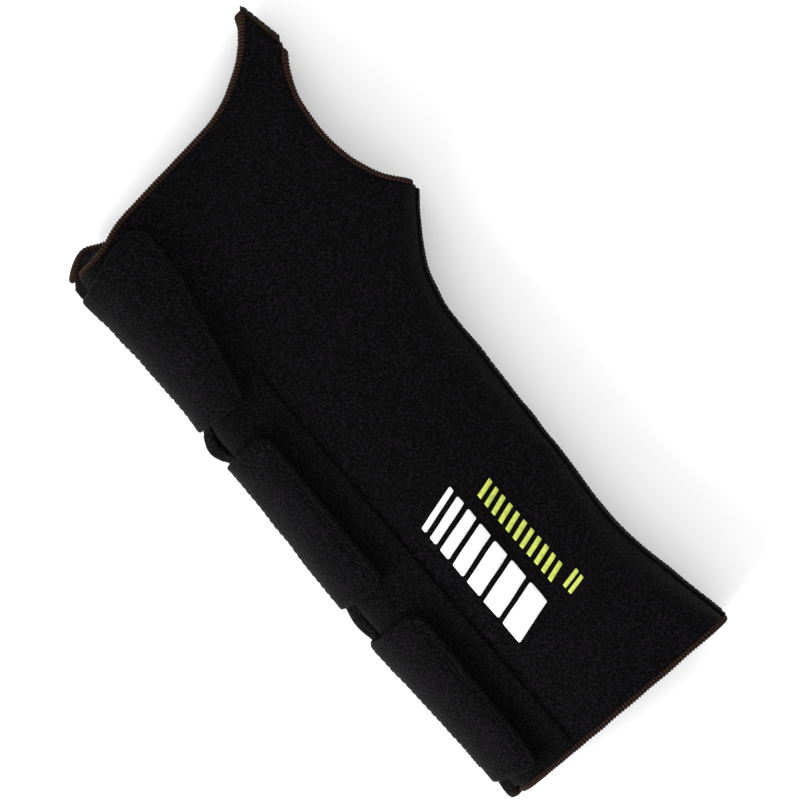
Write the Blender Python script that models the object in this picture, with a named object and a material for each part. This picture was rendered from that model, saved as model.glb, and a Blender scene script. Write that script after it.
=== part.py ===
"""Long wrist support brace of sewn neoprene with a thumb opening, closed and lying on its palm side.

Frame, in metres: +Y towards the fingers, +X towards the thumb, +Z from the palm to the back of the hand.

Across its length the brace is a flattened tube, like a belt round two rollers. The ulnar roller, under the
closure tabs, has a constant radius, so the hinge lines of the flap and the tabs are straight. The radial
roller tapers from the cuff to the web strap between thumb and index finger. Every soft piece is a shell that
follows this section at its own height, and is then trimmed by an upright cutter with its outline from above.
"""

import math

import bmesh
import bpy
import numpy as np
from mathutils import Matrix, Vector

# Layers, from the inside out
NEOPRENE = 0.0030
GAP = 0.0003
LOOP_THICKNESS = 0.0006
HOOK_THICKNESS = 0.0008
PRINT_THICKNESS = 0.0003
SEAM_TAPE_THICKNESS = 0.0006
STRIP_BOTTOM = GAP
HOOK_BOTTOM = STRIP_BOTTOM + LOOP_THICKNESS + GAP
TAB_BOTTOM = HOOK_BOTTOM + HOOK_THICKNESS + GAP
TAB_TOP = TAB_BOTTOM + NEOPRENE

# The body seen from above
CUFF_Y = -0.116
TIP_Y = 0.116
PAST_TIP_Y = TIP_Y + 0.002
ULNAR_X = -0.0493
RADIAL_EDGE = (
    (-0.116, 0.0352), (-0.097, 0.0314), (-0.075, 0.0278), (-0.047, 0.0287), (-0.009, 0.0302),
    (0.011, 0.0312), (0.021, 0.0342), (0.033, 0.0418), (0.043, 0.0492), (0.060, 0.0508),
    (0.080, 0.0488), (0.097, 0.0445), (0.116, 0.0420),
)
FINGER_EDGE_DORSAL = (
    (-0.0640, 0.0866), (-0.0345, 0.0870), (-0.0270, 0.0896), (-0.0138, 0.0914), (0.0037, 0.0929),
    (0.0138, 0.0945), (0.0211, 0.0965), (0.0268, 0.0992), (0.0316, 0.1027), (0.0364, 0.1079),
    (0.0405, 0.1134),
)
FINGER_EDGE_PALMAR = (
    (-0.0570, 0.0744), (-0.0490, 0.0830), (-0.0452, 0.0884), (-0.0405, 0.0906), (-0.0340, 0.0884),
    (-0.0200, 0.0850), (-0.0020, 0.0842), (0.0130, 0.0876), (0.0228, 0.0934), (0.0310, 0.1004),
    (0.0364, 0.1066), (0.0405, 0.1126),
)
WEB_TIP = (0.0440, 0.1168)
BEYOND_TIP = (0.0560, 0.1183)
THUMB_CENTRE = (0.0792, 0.0712)
THUMB_RADIUS = 0.0423
BINDING_WIDTH = 0.0018
BOUND = BINDING_WIDTH + GAP
FINGER_BINDING_Y = (0.072, PAST_TIP_Y)
FLAP_BINDING_Y = (0.077, 0.097)
THUMB_BINDING_Y = (0.030, 0.105)
THUMB_BINDING_ANGLES = (0.42 * math.pi, 1.58 * math.pi)

# The section: two rollers and a crown between them
POCKET_HEIGHT = 0.0034
FLOOR_Z = POCKET_HEIGHT + GAP
FOLD_RADIUS = 0.0095
OUTER_RADIUS = FOLD_RADIUS + TAB_TOP
FOLD_X = ULNAR_X + OUTER_RADIUS
FOLD_Z = FLOOR_Z + OUTER_RADIUS
RADIAL_ROLLER = (
    (-0.116, 0.0130), (-0.060, 0.0120), (0.000, 0.0112), (0.040, 0.0095), (0.085, 0.0058), (0.116, 0.0044),
)
CROWN = ((-0.116, 0.0032), (0.000, 0.0026), (0.060, 0.0016), (0.116, 0.0))
FLANGE_WIDTH = 0.010

# Places on the ulnar roller, as angles from +X
FLAP_HINGE = math.radians(240)
GAP_EDGE = math.radians(206)
TAB_HINGE = math.radians(183)
HOOK_END = math.radians(128)
STRIP_END = math.radians(186)
STRIP_EDGE_X = -0.0235

# Closure tabs seen from above: (x, y, corner radius), running past the ulnar edge
PAST_EDGE_X = -0.060
TABS = {
    "distal": (
        (PAST_EDGE_X, 0.0745, 0.0), (-0.0410, 0.0805, 0.012), (-0.0330, 0.0834, 0.012),
        (-0.0210, 0.0844, 0.0048), (-0.0217, 0.0650, 0.030), (-0.0319, 0.0243, 0.0025),
        (PAST_EDGE_X, 0.0272, 0.0),
    ),
    "middle": (
        (PAST_EDGE_X, 0.0127, 0.0), (-0.0336, 0.0143, 0.0042), (-0.0333, -0.0422, 0.0030),
        (PAST_EDGE_X, -0.0395, 0.0),
    ),
    "proximal": (
        (PAST_EDGE_X, -0.0531, 0.0), (-0.0318, -0.0541, 0.0050), (-0.0352, -0.1125, 0.0035),
        (PAST_EDGE_X, -0.1047, 0.0),
    ),
}
HOOK_MARGIN = 0.0025
SPARE = 0.002
FLAP_GAP_DEPTH = 0.030
PAST_FLAP_Y = (-0.13, 0.13)
STRIP_RANGE = (-0.1130, 0.0835)
FLAP_RANGE = (-0.1140, 0.0935)

# Palmar pocket and its stay
POCKET_X = -0.0090
POCKET_WIDTH = 0.030
POCKET_CORNER = 0.004
POCKET_RANGE = (-0.104, 0.046)
SLOT_WIDTH = 0.0212
SLOT_HEIGHT = (0.0008, 0.0027)
SLOT_START_Y = POCKET_RANGE[0] - 0.010
SLOT_END_Y = 0.0425
SLOT_CORNER = 0.002
SPLINT_WIDTH = 0.020
SPLINT_HEIGHT = (0.0011, 0.0024)
SPLINT_RANGE = (-0.1025, 0.0410)
SPLINT_CORNER = 0.009

# Tapes over the two radial seams: half their width as an angle on the roller, and where they start and end
FOREARM_TAPE = (math.radians(16), (CUFF_Y + 0.003, 0.053))
WEB_TAPE = (math.radians(32), (0.088, 0.1125))

# Transfer prints: centre, size across X and Y
PRINTS = {
    "print_white": ((-0.0091, -0.0570), (0.0140, 0.0480), "white_print"),
    "print_lime": ((0.0054, -0.0560), (0.0060, 0.0350), "lime_print"),
}
PRINT_CORNER = 0.0020

# Fineness
ROW_STEP = 0.0085
ROLLER_STEPS = 8
TOP_STEPS = 7
ARC_STEPS = 6
OUTLINE_STEPS = 4
THUMB_STEPS = 64
FOLD_STEPS = ROLLER_STEPS + 3
CUTTER_Z = (-0.02, 0.08)
CUTTER_X = 0.08
CUTTER_Y = 0.16
SHARP_ANGLE = math.radians(40)
SMALLEST_CORNER = 0.0005

MATERIALS = {
    "neoprene": ((0.010, 0.009, 0.011), 0.85, 0.0),
    "loop": ((0.022, 0.021, 0.024), 0.95, 0.0),
    "hook": ((0.012, 0.012, 0.013), 0.60, 0.0),
    "binding": ((0.050, 0.022, 0.012), 0.80, 0.0),
    "webbing": ((0.014, 0.013, 0.015), 0.75, 0.0),
    "aluminium": ((0.700, 0.700, 0.720), 0.35, 1.0),
    "white_print": ((0.830, 0.830, 0.820), 0.50, 0.0),
    "lime_print": ((0.480, 0.560, 0.080), 0.50, 0.0),
}


def clear_scene():
    for obj in list(bpy.data.objects):
        bpy.data.objects.remove(obj, do_unlink=True)


def make_material(name):
    colour, roughness, metallic = MATERIALS[name]
    material = bpy.data.materials.new(name)
    material.use_nodes = True
    shader = material.node_tree.nodes["Principled BSDF"]
    shader.inputs["Base Color"].default_value = (*colour, 1.0)
    shader.inputs["Roughness"].default_value = roughness
    shader.inputs["Metallic"].default_value = metallic
    return material


def smooth_value(points, at):
    """The value at a place on the smooth curve through (place, value) points."""
    place, value = (np.array(column) for column in zip(*points))
    slope = np.gradient(value, place)
    i = int(np.clip(np.searchsorted(place, at) - 1, 0, len(place) - 2))
    span = place[i + 1] - place[i]
    t = float(np.clip((at - place[i]) / span, 0.0, 1.0))
    start = (1 + 2 * t) * (1 - t) ** 2 * value[i] + t * (1 - t) ** 2 * span * slope[i]
    end = t * t * (3 - 2 * t) * value[i + 1] - t * t * (1 - t) * span * slope[i + 1]
    return float(start + end)


# ---- Outlines seen from above ----


def smooth_line(points):
    """The smooth open line through points, with the points themselves kept."""
    distance = np.concatenate([[0], np.cumsum(np.linalg.norm(np.diff(points, axis=0), axis=1))])
    line = []
    for start, end in zip(distance[:-1], distance[1:]):
        for at in np.linspace(start, end, OUTLINE_STEPS, endpoint=False):
            line.append([smooth_value(list(zip(distance, column)), at) for column in zip(*points)])
    return np.array([*line, points[-1]])


def shifted(line, distance):
    """An open line moved sideways, to its right as it runs."""
    along = np.gradient(line, axis=0)
    along /= np.linalg.norm(along, axis=1)[:, None]
    return line + distance * np.stack([along[:, 1], -along[:, 0]], axis=1)


def rounded(corners):
    """The closed outline with the given (x, y, radius) corners, each replaced by an arc."""
    outline = []
    for i, (x, y, radius) in enumerate(corners):
        corner = Vector((x, y))
        if radius == 0:
            outline.append(corner)
            continue
        before = (Vector(corners[i - 1][:2]) - corner).normalized()
        after = (Vector(corners[(i + 1) % len(corners)][:2]) - corner).normalized()
        half = before.angle(after) / 2
        centre = corner + (before + after).normalized() * radius / math.sin(half)
        first = corner + before * radius / math.tan(half) - centre
        last = corner + after * radius / math.tan(half) - centre
        turn = first.angle_signed(last)
        for step in range(ARC_STEPS + 1):
            outline.append(centre + Matrix.Rotation(-turn * step / ARC_STEPS, 2) @ first)
    return np.array(outline)


def rectangle(centre, size, radius):
    """A rounded rectangle's corners."""
    x, y = centre
    half_x, half_y = size[0] / 2, size[1] / 2
    return (
        (x - half_x, y + half_y, radius), (x + half_x, y + half_y, radius),
        (x + half_x, y - half_y, radius), (x - half_x, y - half_y, radius),
    )


def inset(corners, distance):
    """The corners of a clockwise outline moved inwards by a distance."""
    moved = []
    for i, (x, y, radius) in enumerate(corners):
        before = Vector(corners[i - 1][:2])
        corner = Vector((x, y))
        after = Vector(corners[(i + 1) % len(corners)][:2])
        first = (corner - before).normalized()
        second = (after - corner).normalized()
        inward = Vector((first.y, -first.x)) + Vector((second.y, -second.x))
        place = corner + inward * distance / (1 + first.dot(second))
        moved.append((place.x, place.y, max(radius - distance, SMALLEST_CORNER) if radius else 0.0))
    return moved


def finger_line(edge):
    """The finger opening's edge from past the ulnar side to the tip of the web strap and beyond it."""
    return smooth_line([*edge, WEB_TIP, BEYOND_TIP])


def finger_cutter(edge, grow):
    """Everything beyond the finger edge, moved towards the cuff by grow."""
    line = shifted(finger_line(edge), grow)
    beyond = (
        (CUTTER_X, line[-1][1]), (CUTTER_X, CUTTER_Y), (-CUTTER_X, CUTTER_Y), (-CUTTER_X, line[0][1]),
    )
    return [*line, *beyond]


def finger_ribbon(edge):
    """The strip along the finger edge that its binding covers."""
    line = finger_line(edge)
    return [*line, *shifted(line, BINDING_WIDTH)[::-1]]


def thumb_circle(grow):
    """The thumb opening's circle, grown by a distance: the brace holds only its ulnar side."""
    angles = np.linspace(0, 2 * math.pi, THUMB_STEPS, endpoint=False)
    return [thumb_point(grow, angle) for angle in angles]


def thumb_point(grow, angle):
    radius = THUMB_RADIUS + grow
    return THUMB_CENTRE[0] + radius * math.cos(angle), THUMB_CENTRE[1] + radius * math.sin(angle)


def thumb_ribbon():
    """The strip round the thumb opening that its binding covers."""
    angles = np.linspace(*THUMB_BINDING_ANGLES, THUMB_STEPS // 2)
    inner = [thumb_point(0.0, angle) for angle in angles]
    outer = [thumb_point(BINDING_WIDTH, angle) for angle in angles]
    return [*inner, *outer[::-1]]


# ---- The section ----


def arc(centre, radius, start, end, steps):
    """(point, outward normal) pairs along an arc."""
    path = []
    for angle in np.linspace(start, end, steps + 1):
        normal = np.array([math.cos(angle), math.sin(angle)])
        path.append((np.array(centre) + radius * normal, normal))
    return path


def rollers(y):
    """The radial roller's centre and radius at y, and the normal angle of the line over both rollers."""
    radius = smooth_value(RADIAL_ROLLER, y)
    centre = np.array([smooth_value(RADIAL_EDGE, y) - radius, FLOOR_Z + radius])
    across = centre - (FOLD_X, FOLD_Z)
    span = float(np.linalg.norm(across))
    normal = math.atan2(across[1], across[0]) + math.acos((FOLD_RADIUS - radius) / span)
    return centre, radius, normal


def top_point(y, x):
    """The point of the dorsal surface over x, between the rollers, and its normal."""
    centre, radius, angle = rollers(y)
    normal = np.array([math.cos(angle), math.sin(angle)])
    radial_end = centre + radius * normal
    ulnar_end = np.array([FOLD_X, FOLD_Z]) + FOLD_RADIUS * normal
    f = float(np.clip((x - ulnar_end[0]) / (radial_end[0] - ulnar_end[0]), 0.0, 1.0))
    lift = smooth_value(CROWN, y) * math.sin(math.pi * f)
    return ulnar_end + f * (radial_end - ulnar_end) + lift * normal, normal


def top_line(y, start_x, end_x, steps):
    return [top_point(y, x) for x in np.linspace(start_x, end_x, steps + 1)]


def half_gap_angle(radius):
    return GAP / 2 / radius


def dorsal_path(y):
    """From the radial seam over the top, round the ulnar fold and along the flange tucked inside the flap."""
    centre, radius, angle = rollers(y)
    radial_top = centre[0] + radius * math.cos(angle)
    ulnar_top = FOLD_X + FOLD_RADIUS * math.cos(angle)
    down = np.array([0.0, -1.0])
    foot = np.array([FOLD_X, FOLD_Z - FOLD_RADIUS])
    return [
        *arc(centre, radius, half_gap_angle(radius), angle, ROLLER_STEPS),
        *top_line(y, radial_top, ulnar_top, TOP_STEPS)[1:-1],
        *arc((FOLD_X, FOLD_Z), FOLD_RADIUS, angle, 1.5 * math.pi, FOLD_STEPS),
        (foot + (FLANGE_WIDTH / 2, 0.0), down),
        (foot + (FLANGE_WIDTH, 0.0), down),
    ]


def palmar_path(y):
    """From the radial seam under the palm to the flap's hinge."""
    centre, radius, _ = rollers(y)
    down = np.array([0.0, -1.0])
    flat = [
        (np.array([x, FLOOR_Z]), down)
        for x in np.linspace(centre[0], FOLD_X, TOP_STEPS + 1)
    ]
    return [
        *arc(centre, radius, -half_gap_angle(radius), -0.5 * math.pi, ROLLER_STEPS),
        *flat[1:-1],
        *arc((FOLD_X, FOLD_Z), OUTER_RADIUS, 1.5 * math.pi, FLAP_HINGE + half_gap_angle(OUTER_RADIUS), 4),
    ]


def flap_path(y):
    """The outer layer in the ulnar fold, from the flap's hinge up to the tabs' hinges."""
    play = half_gap_angle(OUTER_RADIUS)
    return arc((FOLD_X, FOLD_Z), OUTER_RADIUS, FLAP_HINGE - play, TAB_HINGE + play, ROLLER_STEPS)


def over_fold(from_x, to_angle, steps):
    """The path from a place on the top, over the ulnar shoulder, to an angle on the ulnar roller."""

    def path(y):
        angle = rollers(y)[2]
        ulnar_top = FOLD_X + FOLD_RADIUS * math.cos(angle)
        return [
            *top_line(y, from_x, ulnar_top, 3)[:-1],
            *arc((FOLD_X, FOLD_Z), FOLD_RADIUS, angle, to_angle, steps),
        ]

    return path


def radial_path(half_angle):
    """A short path across the radial seam."""

    def path(y):
        centre, radius, _ = rollers(y)
        return arc(centre, radius, half_angle, -half_angle, 4)

    return path


# ---- Solids ----


def rows(start, end):
    return np.linspace(start, end, max(2, math.ceil((end - start) / ROW_STEP) + 1))


def finish(obj, material, parent=None):
    obj.data.materials.append(bpy.data.materials[material])
    obj.data.shade_smooth()
    obj.data.set_sharp_from_angle(angle=SHARP_ANGLE)
    if parent:
        obj.parent = parent
        obj.matrix_parent_inverse = parent.matrix_world.inverted()
    return obj


def new_object(name, bm):
    bmesh.ops.recalc_face_normals(bm, faces=bm.faces)
    mesh = bpy.data.meshes.new(name)
    bm.to_mesh(mesh)
    bm.free()
    obj = bpy.data.objects.new(name, mesh)
    bpy.context.collection.objects.link(obj)
    return obj


def shell(name, path, y_range, outer, inner, material, parent=None):
    """The closed shell between two heights over a section path, swept along Y."""
    bm = bmesh.new()
    grid = []
    for y in rows(*y_range):
        stations = path(y)
        above = [p + outer * n for p, n in stations]
        below = [p + inner * n for p, n in stations]
        loop = [bm.verts.new((x, y, z)) for x, z in (*above, *below[::-1])]
        grid.append(loop)
    count = len(grid[0])
    for near, far in zip(grid[:-1], grid[1:]):
        for i in range(count):
            j = (i + 1) % count
            bm.faces.new((near[i], near[j], far[j], far[i]))
    for loop in (grid[0], grid[-1]):
        for i in range(count // 2 - 1):
            bm.faces.new((loop[i], loop[i + 1], loop[count - 2 - i], loop[count - 1 - i]))
    return finish(new_object(name, bm), material, parent)


def prism(name, outline, low, high):
    """An upright prism with the given outline."""
    bm = bmesh.new()
    base = bm.faces.new([bm.verts.new((x, y, low)) for x, y in outline])
    top = bmesh.ops.extrude_face_region(bm, geom=[base])["geom"]
    moved = [part for part in top if isinstance(part, bmesh.types.BMVert)]
    bmesh.ops.translate(bm, vec=(0.0, 0.0, high - low), verts=moved)
    return new_object(name, bm)


def cutter(name, outline, low=CUTTER_Z[0], high=CUTTER_Z[1]):
    obj = prism("cutter_" + name, outline, low, high)
    obj.hide_render = True
    obj.display_type = "WIRE"
    return obj


def trim(obj, tool, operation="DIFFERENCE"):
    modifier = obj.modifiers.new(tool.name, "BOOLEAN")
    modifier.operation = operation
    modifier.object = tool
    modifier.solver = "EXACT"


def hinge(name, angle, parent=None):
    """An empty on the outer skin of the ulnar fold, for the pieces that turn about that line."""
    empty = bpy.data.objects.new(name, None)
    empty.location = (
        FOLD_X + OUTER_RADIUS * math.cos(angle), 0.0, FOLD_Z + OUTER_RADIUS * math.sin(angle),
    )
    bpy.context.collection.objects.link(empty)
    bpy.context.view_layer.update()
    if parent:
        empty.parent = parent
        empty.matrix_parent_inverse = parent.matrix_world.inverted()
        bpy.context.view_layer.update()
    return empty


def make_panel(side, path, edge):
    """One face of the tube: the panel, and the bindings on its cuff, finger and thumb edges."""
    panel_range = (CUFF_Y + BOUND, PAST_TIP_Y)
    panel = shell(f"{side}_panel", path, panel_range, 0.0, -NEOPRENE, "neoprene")
    trim(panel, cutter(f"{side}_finger", finger_cutter(edge, BOUND)))
    trim(panel, cutter(f"{side}_thumb", thumb_circle(BOUND)))
    finger = shell(f"finger_binding_{side}", path, FINGER_BINDING_Y, 0.0, -NEOPRENE, "binding")
    trim(finger, cutter(f"{side}_finger_ribbon", finger_ribbon(edge)), "INTERSECT")
    thumb = shell(f"thumb_binding_{side}", path, THUMB_BINDING_Y, 0.0, -NEOPRENE, "binding")
    trim(thumb, cutter(f"{side}_thumb_ribbon", thumb_ribbon()), "INTERSECT")
    cuff_range = (CUFF_Y, CUFF_Y + BINDING_WIDTH)
    shell(f"cuff_binding_{side}", path, cuff_range, 0.0, -NEOPRENE, "binding")


def make_flap(parent):
    """The outer layer's ulnar margin, with a lug under each tab and a trimmed distal corner."""
    flap = shell("ulnar_flap", flap_path, FLAP_RANGE, 0.0, -NEOPRENE, "neoprene", parent)
    trim(flap, cutter("flap_finger", finger_cutter(FINGER_EDGE_PALMAR, BOUND)))
    edge_z = FOLD_Z + OUTER_RADIUS * math.sin(GAP_EDGE)
    spans = sorted((corners[-1][1], corners[0][1]) for corners in TABS.values())
    starts = [PAST_FLAP_Y[0], *(end for _, end in spans)]
    ends = [*(start for start, _ in spans), PAST_FLAP_Y[1]]
    for i, (start, end) in enumerate(zip(starts, ends)):
        middle = (ULNAR_X, (start + end) / 2)
        outline = rounded(rectangle(middle, (FLAP_GAP_DEPTH, end - start), 0.0))
        trim(flap, cutter(f"flap_gap_{i}", outline, edge_z))
    low_path = over_angles(FLAP_HINGE - half_gap_angle(OUTER_RADIUS), GAP_EDGE)
    binding = shell("finger_binding_flap", low_path, FLAP_BINDING_Y, 0.0, -NEOPRENE, "binding", parent)
    trim(binding, cutter("flap_ribbon", finger_ribbon(FINGER_EDGE_PALMAR)), "INTERSECT")


def over_angles(start, end):
    """A path on the outer skin of the ulnar fold, the same at every y."""
    return lambda y: arc((FOLD_X, FOLD_Z), OUTER_RADIUS, start, end, ROLLER_STEPS)


def make_tab(name, corners, parent):
    """One closure tab with the hook patch under it, turning on the flap's upper edge."""
    joint = hinge(f"{name}_hinge", TAB_HINGE, parent)
    outline = rounded(corners)
    low, high = outline[:, 1].min() - SPARE, outline[:, 1].max() + SPARE
    reach = outline[:, 0].max() + SPARE
    tab_path = over_fold(reach, TAB_HINGE - half_gap_angle(OUTER_RADIUS), ROLLER_STEPS)
    tab = shell(f"tab_{name}", tab_path, (low, high), TAB_TOP, TAB_BOTTOM, "neoprene", joint)
    trim(tab, cutter(f"tab_{name}", outline), "INTERSECT")
    hook_path = over_fold(reach, HOOK_END, 4)
    top = HOOK_BOTTOM + HOOK_THICKNESS
    hook = shell(f"hook_patch_{name}", hook_path, (low, high), top, HOOK_BOTTOM, "hook", joint)
    trim(hook, cutter(f"hook_{name}", rounded(inset(corners, HOOK_MARGIN))), "INTERSECT")


def make_landing_strip():
    """Loop tape on the dorsal panel, from beyond the tabs' ends round into the ulnar fold."""
    path = over_fold(STRIP_EDGE_X, STRIP_END, ROLLER_STEPS)
    top = STRIP_BOTTOM + LOOP_THICKNESS
    shell("loop_landing_strip", path, STRIP_RANGE, top, STRIP_BOTTOM, "loop")


def make_pocket_and_splint():
    """The stay's sleeve sewn under the palm, closed at the hand end, and the stay inside it."""
    start, end = POCKET_RANGE
    middle = (POCKET_X, (start + end) / 2)
    outline = rounded(rectangle(middle, (POCKET_WIDTH, end - start), POCKET_CORNER))
    pocket = finish(prism("splint_pocket", outline, 0.0, POCKET_HEIGHT), "webbing")
    slot_middle = (POCKET_X, (SLOT_START_Y + SLOT_END_Y) / 2)
    slot = rounded(rectangle(slot_middle, (SLOT_WIDTH, SLOT_END_Y - SLOT_START_Y), SLOT_CORNER))
    trim(pocket, cutter("pocket_slot", slot, *SLOT_HEIGHT))
    start, end = SPLINT_RANGE
    plate = rounded(rectangle((0.0, (end - start) / 2), (SPLINT_WIDTH, end - start), SPLINT_CORNER))
    splint = prism("aluminium_splint", plate, *SPLINT_HEIGHT)
    splint.location = (POCKET_X, start, 0.0)
    finish(splint, "aluminium")


def on_crown(start_x, end_x):
    """A path on the top between two places."""
    return lambda y: top_line(y, start_x, end_x, 3)


def make_prints():
    for name, (centre, size, material) in PRINTS.items():
        half_x = size[0] / 2 + SPARE
        half_y = size[1] / 2 + SPARE
        patch = on_crown(centre[0] + half_x, centre[0] - half_x)
        span = (centre[1] - half_y, centre[1] + half_y)
        plate = shell(name, patch, span, GAP + PRINT_THICKNESS, GAP, material)
        outline = rounded(rectangle(centre, size, PRINT_CORNER))
        trim(plate, cutter(name, outline), "INTERSECT")


def make_seam_tapes():
    """Tapes over the seams between the two panels, on the forearm and on the web strap."""
    top = GAP + SEAM_TAPE_THICKNESS
    for name, (half_angle, span) in (("radial", FOREARM_TAPE), ("web", WEB_TAPE)):
        tape = shell(f"{name}_seam_tape", radial_path(half_angle), span, top, GAP, "webbing")
        trim(tape, cutter(f"{name}_seam_thumb", thumb_circle(BOUND + GAP)))


def main():
    clear_scene()
    for name in MATERIALS:
        make_material(name)
    make_panel("dorsal", dorsal_path, FINGER_EDGE_DORSAL)
    make_panel("palmar", palmar_path, FINGER_EDGE_PALMAR)
    make_landing_strip()
    flap_hinge = hinge("flap_hinge", FLAP_HINGE)
    make_flap(flap_hinge)
    for name, corners in TABS.items():
        make_tab(name, corners, flap_hinge)
    make_pocket_and_splint()
    make_seam_tapes()
    make_prints()


main()
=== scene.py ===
"""Looks of the long wrist support brace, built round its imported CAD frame.

Frame, in metres: +Y towards the fingers, +X towards the thumb, +Z from the palm to the back of the hand.
The soft pieces follow the CAD part's section at a finer step: a belt round an ulnar and a radial roller.
All of them then go through one field, settle(), so that layers, threads and prints stay clear of each other.
"""

import math

import bmesh
import bpy
import numpy as np
from mathutils import Matrix, Vector, kdtree, noise


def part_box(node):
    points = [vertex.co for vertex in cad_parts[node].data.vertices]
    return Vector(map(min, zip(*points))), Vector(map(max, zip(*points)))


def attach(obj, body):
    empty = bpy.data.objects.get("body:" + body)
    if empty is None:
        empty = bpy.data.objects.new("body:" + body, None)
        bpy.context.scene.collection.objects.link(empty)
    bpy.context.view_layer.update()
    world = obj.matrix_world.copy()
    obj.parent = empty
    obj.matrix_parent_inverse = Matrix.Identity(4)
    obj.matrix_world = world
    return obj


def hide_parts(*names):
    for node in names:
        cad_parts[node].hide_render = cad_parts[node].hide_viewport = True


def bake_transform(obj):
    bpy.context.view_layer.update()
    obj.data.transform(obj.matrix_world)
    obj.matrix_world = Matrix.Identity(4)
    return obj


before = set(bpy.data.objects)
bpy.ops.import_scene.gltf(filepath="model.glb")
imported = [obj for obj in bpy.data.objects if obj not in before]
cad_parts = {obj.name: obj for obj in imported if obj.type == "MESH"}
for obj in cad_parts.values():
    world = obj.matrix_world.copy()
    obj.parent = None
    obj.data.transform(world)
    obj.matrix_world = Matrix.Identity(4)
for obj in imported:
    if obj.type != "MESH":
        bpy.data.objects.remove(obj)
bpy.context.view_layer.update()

# Layers, from the inside out, as in the CAD part
NEOPRENE = 0.0030
GAP = 0.0003
LOOP_THICKNESS = 0.0006
HOOK_THICKNESS = 0.0008
SEAM_TAPE_THICKNESS = 0.0006
STRIP_BOTTOM = GAP
HOOK_BOTTOM = STRIP_BOTTOM + LOOP_THICKNESS + GAP
TAB_BOTTOM = HOOK_BOTTOM + HOOK_THICKNESS + GAP
TAB_TOP = TAB_BOTTOM + NEOPRENE

# The body seen from above: the CAD part's outline, with its edges up to 1.2 mm off it where worn fabric lies
CUFF_Y = -0.116
TIP_Y = 0.116
PAST_TIP_Y = TIP_Y + 0.003
ULNAR_X = -0.0493
RADIAL_EDGE = (
    (-0.116, 0.0352), (-0.097, 0.0314), (-0.075, 0.0278), (-0.047, 0.0287), (-0.009, 0.0302),
    (0.011, 0.0312), (0.021, 0.0342), (0.033, 0.0418), (0.043, 0.0492), (0.060, 0.0508),
    (0.080, 0.0490), (0.097, 0.0455), (0.116, 0.0416),
)
FINGER_Y = 0.09
FINGER_EDGE_DORSAL = (
    (-0.0640, 0.0860), (-0.0345, 0.0863), (-0.0270, 0.0888), (-0.0138, 0.0907), (0.0037, 0.0928),
    (0.0138, 0.0943), (0.0211, 0.0970), (0.0268, 0.1002), (0.0316, 0.1035), (0.0364, 0.1083),
    (0.0405, 0.1143), (0.0436, 0.1179), (0.0560, 0.1196),
)
FINGER_EDGE_PALMAR = (
    (-0.0570, 0.0744), (-0.0490, 0.0828), (-0.0450, 0.0880), (-0.0405, 0.0905), (-0.0340, 0.0884),
    (-0.0200, 0.0850), (-0.0020, 0.0842), (0.0130, 0.0876), (0.0228, 0.0934), (0.0310, 0.1004),
    (0.0364, 0.1070), (0.0405, 0.1135), (0.0436, 0.1179), (0.0560, 0.1196),
)
THUMB_CENTRE = (0.0792, 0.0712)
THUMB_RADIUS = 0.0423
THUMB_CENTRE_Z = 0.010
THUMB_ARC = (0.42 * math.pi, 1.60 * math.pi)
BINDING_WIDTH = 0.0018

# The section: two rollers and a crown between them, as in the CAD part
POCKET_HEIGHT = 0.0034
FLOOR_Z = POCKET_HEIGHT + GAP
FOLD_RADIUS = 0.0095
OUTER_RADIUS = FOLD_RADIUS + TAB_TOP
FOLD = np.array([ULNAR_X + OUTER_RADIUS, FLOOR_Z + OUTER_RADIUS])
RADIAL_ROLLER = (
    (-0.116, 0.0130), (-0.060, 0.0120), (0.000, 0.0112), (0.040, 0.0095), (0.085, 0.0058), (0.116, 0.0044),
)
CROWN = ((-0.116, 0.0032), (0.000, 0.0026), (0.060, 0.0016), (0.116, 0.0))
FLANGE_WIDTH = 0.010
GAP_EDGE = math.radians(206)
TAB_HINGE = math.radians(183)
HOOK_END = math.radians(128)
STRIP_END = math.radians(186)
STRIP_EDGE_X = -0.0235
STRIP_RANGE = (-0.1130, 0.0835)

# Closure tabs seen from above, as in the CAD part: (x, y, corner radius)
TABS = {
    "distal": (
        (-0.060, 0.0745, 0.0), (-0.0410, 0.0805, 0.012), (-0.0330, 0.0834, 0.012),
        (-0.0210, 0.0844, 0.0048), (-0.0217, 0.0650, 0.030), (-0.0319, 0.0243, 0.0025),
        (-0.060, 0.0272, 0.0),
    ),
    "middle": (
        (-0.060, 0.0127, 0.0), (-0.0336, 0.0143, 0.0042), (-0.0333, -0.0422, 0.0030),
        (-0.060, -0.0395, 0.0),
    ),
    "proximal": (
        (-0.060, -0.0531, 0.0), (-0.0318, -0.0541, 0.0050), (-0.0352, -0.1125, 0.0035),
        (-0.060, -0.1047, 0.0),
    ),
}
HOOK_MARGIN = 0.0025
TAB_SLACK = 0.002
TAB_REACH_SLACK = 0.003
HINGE_MARGIN = 0.00002
SMALLEST_CORNER = 0.0005

# The prints: centre and size of each row of bars, their relative widths, gap, slant and corner radius
WHITE_ROW = ((-0.0091, -0.0570), (0.0140, 0.0480), (8, 7, 6, 5, 4, 3, 2), 0.0018, 0.0040, 0.0005)
LIME_ROW = ((0.0054, -0.0560), (0.0060, 0.0350), (1,) * 11, 0.0016, 0.0018, 0.0002)
LIME_PAIR = ((0.0075, -0.0775), (0.0060, 0.0048), (1, 1), 0.0010, 0.0012, 0.0002)
LIME_PATCH = ((0.0064, -0.0600), (0.0090, 0.0460))
PRINT_TOP = 0.00022
PRINT_ROOT = 0.0002
PRINT_MARGIN = 0.002

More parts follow.
